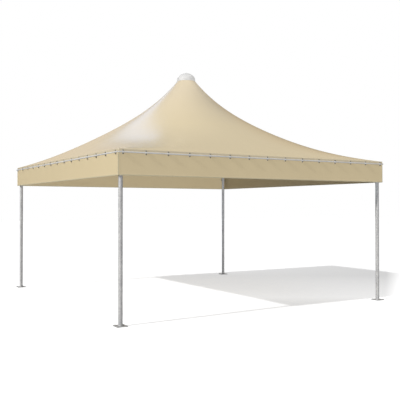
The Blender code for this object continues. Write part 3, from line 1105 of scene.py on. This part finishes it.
def buildCap():
    s = capShape
    points, faces = ringShell(capGrid(), closeEnds=False)
    cap = addPiece("crown_cap_cloth", (points, faces), capCloth, ["crown_cap"],
                   smoothAngle=75, closed=False, uv=points[np.array(faces).ravel(), :2])
    thicken(cap, s["thickness"])
    r, top, deep = s["buttonRadius"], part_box("crown_cap")[1].z, s["buttonHeight"]
    profile = [(top - deep - s["buttonFoot"], 0.9 * r), (top - deep, r), (top - 0.6 * deep, 1.02 * r),
               (top - 0.25 * deep, 0.85 * r), (top - 0.05 * deep, 0.5 * r), (top, 0.15 * r)]
    button = addPiece("crown_cap_button", turnedShell(profile, (0, 0, 0), zAxis, 40), capCloth,
                      ["crown_cap"], smoothAngle=60)
    return cap, button


cap, button = buildCap()
print("cap made")


# The floor
floorLook = {
    "size": 120.0,
    "seen": (0.55, 0.55, 0.55),  # straight to the camera
    "bounce": (0.33, 0.33, 0.33),  # what it throws back on the tent
    "roughness": 0.9,
}

towardsFront = (-0.504, -0.864, 0)
alongShadow = (0.7035, -0.7788, 0)

# the glow that only the camera sees: the way over the floor in which each share of it changes, from where to
# where, and how strong it is at the two ends
floorGlows = (
    (towardsFront, -3.0, 0.5, 0.45, 0.69),
    (towardsFront, 0.6, 1.6, 0.0, -0.14),  # less again in front of the tent
    (alongShadow, 0.0, 3.7, 0.03, -0.06),
    (alongShadow, 3.74, 4.20, 0.0, 0.5),  # where the shadow fades out
)


# a pale floor that burns out to white like a lit cyclorama, and throws less light back on the tent
def floorMaterial():
    material, shader, place = newMaterial("pale_floor", floorLook["roughness"])
    shader.inputs["Emission Color"].default_value = (1, 1, 1, 1)
    shader.inputs["Specular IOR Level"].default_value = 0.0
    direct = addNode(place.id_data, "LightPath", {}).outputs["Is Camera Ray"]
    glow = None
    for way, low, high, lowGlow, highGlow in floorGlows:
        share = addRange(addDot(place, way), low, high, lowGlow, highGlow)
        glow = share if glow is None else addMath("ADD", glow, share)
    linkShader(shader, {"Base Color": addColourMix(direct, floorLook["bounce"], floorLook["seen"]),
                        "Emission Strength": addMath("MULTIPLY", direct, glow)})
    return material


def buildFloor():
    edge = np.linspace(-floorLook["size"] / 2, floorLook["size"] / 2, 9)
    across, ahead = np.meshgrid(edge, edge, indexing="xy")
    points, quads = openGrid(np.stack([across, ahead, np.zeros_like(across)], axis=-1))
    mesh = bpy.data.meshes.new("floor")
    mesh.from_pydata(points.tolist(), [], [face[::-1] for face in quads.tolist()])
    mesh.materials.append(floorMaterial())
    floor = addObject("floor", mesh)
    floor.visible_shadow = False  # the low fill comes up through it


# The lights: two suns
suns = {
    "key": {"place": (-12, -1, 8), "direction": (3.22, 0.25, -2.05), "strength": 3.68, "angle": 1.2},
    # low from the front, so that it reaches under the valance
    "fill": {"place": (-2, -12, 0.5), "direction": (0.17, 0.965, 0.20), "strength": 1.80, "angle": 15.0},
}

# the panels behind the tent, whose mirror image is the sheen on the roof: angles from +Y towards +X, and up
panelDistance = 36.0
panelAim = 2.8  # height of the point that they face
panels = {
    "high_panel": {"shape": "ELLIPSE", "azimuth": 15.0, "elevation": 32.0, "width": 11.4, "height": 9.6,
                   "radiance": 1.24, "colour": (0.45, 0.61, 1.0)},
    "low_panel": {"shape": "RECTANGLE", "azimuth": 13.0, "elevation": 14.0, "width": 13.0, "height": 7.0,
                  "radiance": 0.44, "colour": (1.0, 0.78, 0.62)},
    "right_panel": {"shape": "RECTANGLE", "azimuth": 45.0, "elevation": 24.0, "width": 16.0, "height": 13.0,
                    "radiance": 0.23, "colour": (1.0, 0.52, 0.03)},
}

# small soft boxes with grids: one for the shaded side of the cap and the neck, and two for the posts that
# stand in the tent's shade, each of which lights nothing but its own post
boxes = {
    "cap_box": {"place": (1.6, -1.5, 4.25), "aim": (0.0, 0.0, 4.02), "size": 0.6, "spread": 35.0,
                "power": 1.1, "colour": (1.0, 1.0, 1.0)},
    "front_right_post_pipe_box": {"place": (1.56, -2.60, 1.82), "aim": (2.44, -2.44, 1.98), "size": 0.3,
                                  "spread": 60.0, "power": 0.44, "colour": (0.74, 0.86, 1.0),
                                  "only": "front_right_post_pipe"},
    "back_right_post_pipe_box": {"place": (-0.40, 1.50, 1.60), "aim": (2.44, 2.44, 1.80), "size": 0.6,
                                 "spread": 110.0, "power": 12.5, "colour": (0.62, 0.78, 1.0),
                                 "only": "back_right_post_pipe"},
}

sky = {"zenith": 0.705, "horizon": 0.02}


# a light with its settings, at a place and facing a direction
def addLight(name, kind, place, direction, **settings):
    light = bpy.data.lights.new(name, kind)
    for setting, value in settings.items():
        setattr(light, setting, value)
    lamp = addObject(name, light)
    lamp.location = place
    lamp.rotation_euler = Vector(direction).to_track_quat("-Z", "Y").to_euler()
    return lamp


def buildSun(name, given):
    lamp = addLight(name, "SUN", given["place"], given["direction"], energy=given["strength"],
                    angle=math.radians(given["angle"]))
    lamp.visible_glossy = name == "key"


def buildPanel(name, given):
    azimuth, elevation = math.radians(given["azimuth"]), math.radians(given["elevation"])
    level = math.cos(elevation)
    away = np.array([math.sin(azimuth) * level, math.cos(azimuth) * level, math.sin(elevation)])
    area = given["width"] * given["height"] * (math.pi / 4 if given["shape"] == "ELLIPSE" else 1)
    lamp = addLight(name, "AREA", panelAim * zAxis + panelDistance * away, -away, shape=given["shape"],
                    size=given["width"], size_y=given["height"], color=given["colour"],
                    energy=given["radiance"] * math.pi * area)
    lamp.visible_camera = False


def buildBox(name, given):
    place = Vector(given["place"])
    lamp = addLight(name, "AREA", place, Vector(given["aim"]) - place, size=given["size"],
                    spread=math.radians(given["spread"]), energy=given["power"], color=given["colour"])
    lamp.visible_camera = False
    lamp.visible_glossy = False
    if "only" in given:
        receivers = bpy.data.collections.new(given["only"] + "_only")
        receivers.objects.link(bpy.data.objects[given["only"]])
        lamp.light_linking.receiver_collection = receivers


# a plain sky, brighter overhead; straight to the camera it is white
def buildSky():
    world = bpy.data.worlds.new("studio")
    bpy.context.scene.world = world
    world.use_nodes = True
    tree = world.node_tree
    up = addSplit(addNode(tree, "TexCoord", {}).outputs["Generated"])["Z"]
    level = addRange(up, 0.0, 1.0, sky["horizon"], sky["zenith"])
    seen = addMath("MAXIMUM", level, addNode(tree, "LightPath", {}).outputs["Is Camera Ray"])
    background = tree.nodes["Background"]
    tree.links.new(seen, background.inputs["Strength"])
    background.inputs["Color"].default_value = (1, 1, 1, 1)


buildFloor()
for build, lights in ((buildSun, suns), (buildPanel, panels), (buildBox, boxes)):
    for name, given in lights.items():
        build(name, given)
buildSky()
print("floor and lights made")


# The camera
cameraSetup = {
    "place": (-5.9604, -10.3070, 1.6137),
    "yaw": 30.241, "pitch": 0.629,
    "lens": 56.98, "sensor": 36.0, "shift": 0.0291, "clipEnd": 500,
}


def buildCamera():
    s = cameraSetup
    data = bpy.data.cameras.new("camera")
    data.lens, data.sensor_width, data.sensor_fit = s["lens"], s["sensor"], "HORIZONTAL"
    data.shift_x = s["shift"]
    data.clip_end = s["clipEnd"]
    camera = addObject("camera", data)
    camera.location = s["place"]
    camera.rotation_euler = (math.radians(90 + s["pitch"]), 0, -math.radians(s["yaw"]))
    bpy.context.scene.camera = camera


buildCamera()
bpy.context.scene.view_settings.view_transform = "Standard"
print("camera made")
